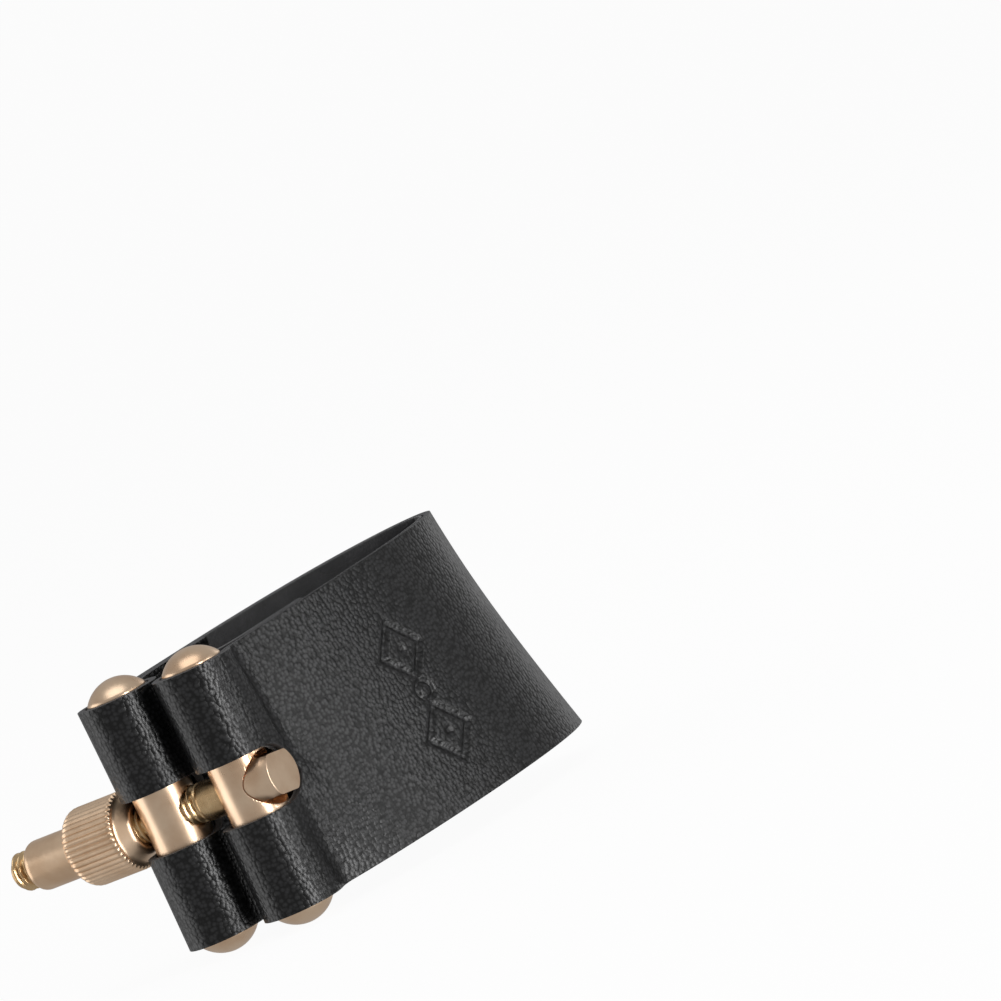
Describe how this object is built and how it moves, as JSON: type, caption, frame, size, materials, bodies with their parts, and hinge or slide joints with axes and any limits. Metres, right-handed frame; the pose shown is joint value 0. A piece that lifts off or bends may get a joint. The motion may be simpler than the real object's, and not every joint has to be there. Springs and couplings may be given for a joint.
{
  "type": "saxophone ligature",
  "caption": "Leather saxophone ligature: a soft loop folded round brass posts, drawn tight by a threaded rod and a knurled thumb nut.",
  "frame": {"origin": "centre of the ligature's box, at its base", "axes": "+Z along the two posts, +X along the clamp rod towards its head, +Y from the posts towards the loop's far bend"},
  "size_m": [0.042, 0.0478, 0.0285],
  "materials": {
    "grained_leather": "fine pebble grain, semi-matt black",
    "suede_lining": "rough dark grey suede",
    "post_brass": "satin rose brass",
    "rod_brass": "satin rose brass, bright thread",
    "nut_brass": "satin rose brass, straight knurl"
  },
  "bodies": {
    "band": {"leather_band": "grained_leather", "inner_lining": "suede_lining", "right_loop": "grained_leather", "right_post": "post_brass"},
    "left_clamp": {"left_loop": "grained_leather", "left_post": "post_brass"},
    "rod": {"clamp_rod": "rod_brass"},
    "nut": {"thumb_nut": "nut_brass"}
  },
  "joints": [
    {"name": "nut_spin", "type": "hinge", "parent": "left_clamp", "child": "nut", "pos_m": [-0.0093, -0.01973, 0.01425], "axis": [1, 0, 0], "range_deg": [-1450, 260]},
    {"name": "clamp_slide", "type": "slide", "parent": "band", "child": "left_clamp", "axis": [1, 0, 0], "range_m": [-0.0028, 0.0005], "deforming": ["leather_band", "inner_lining"]},
    {"name": "rod_turn", "type": "hinge", "parent": "band", "child": "rod", "pos_m": [0.0027, -0.01973, 0.01425], "axis": [1, 0, 0], "continuous": true}
  ],
  "couplings": [
    {"joint": "nut_spin", "follows": "clamp_slide", "rad_per_m": 8976}
  ]
}
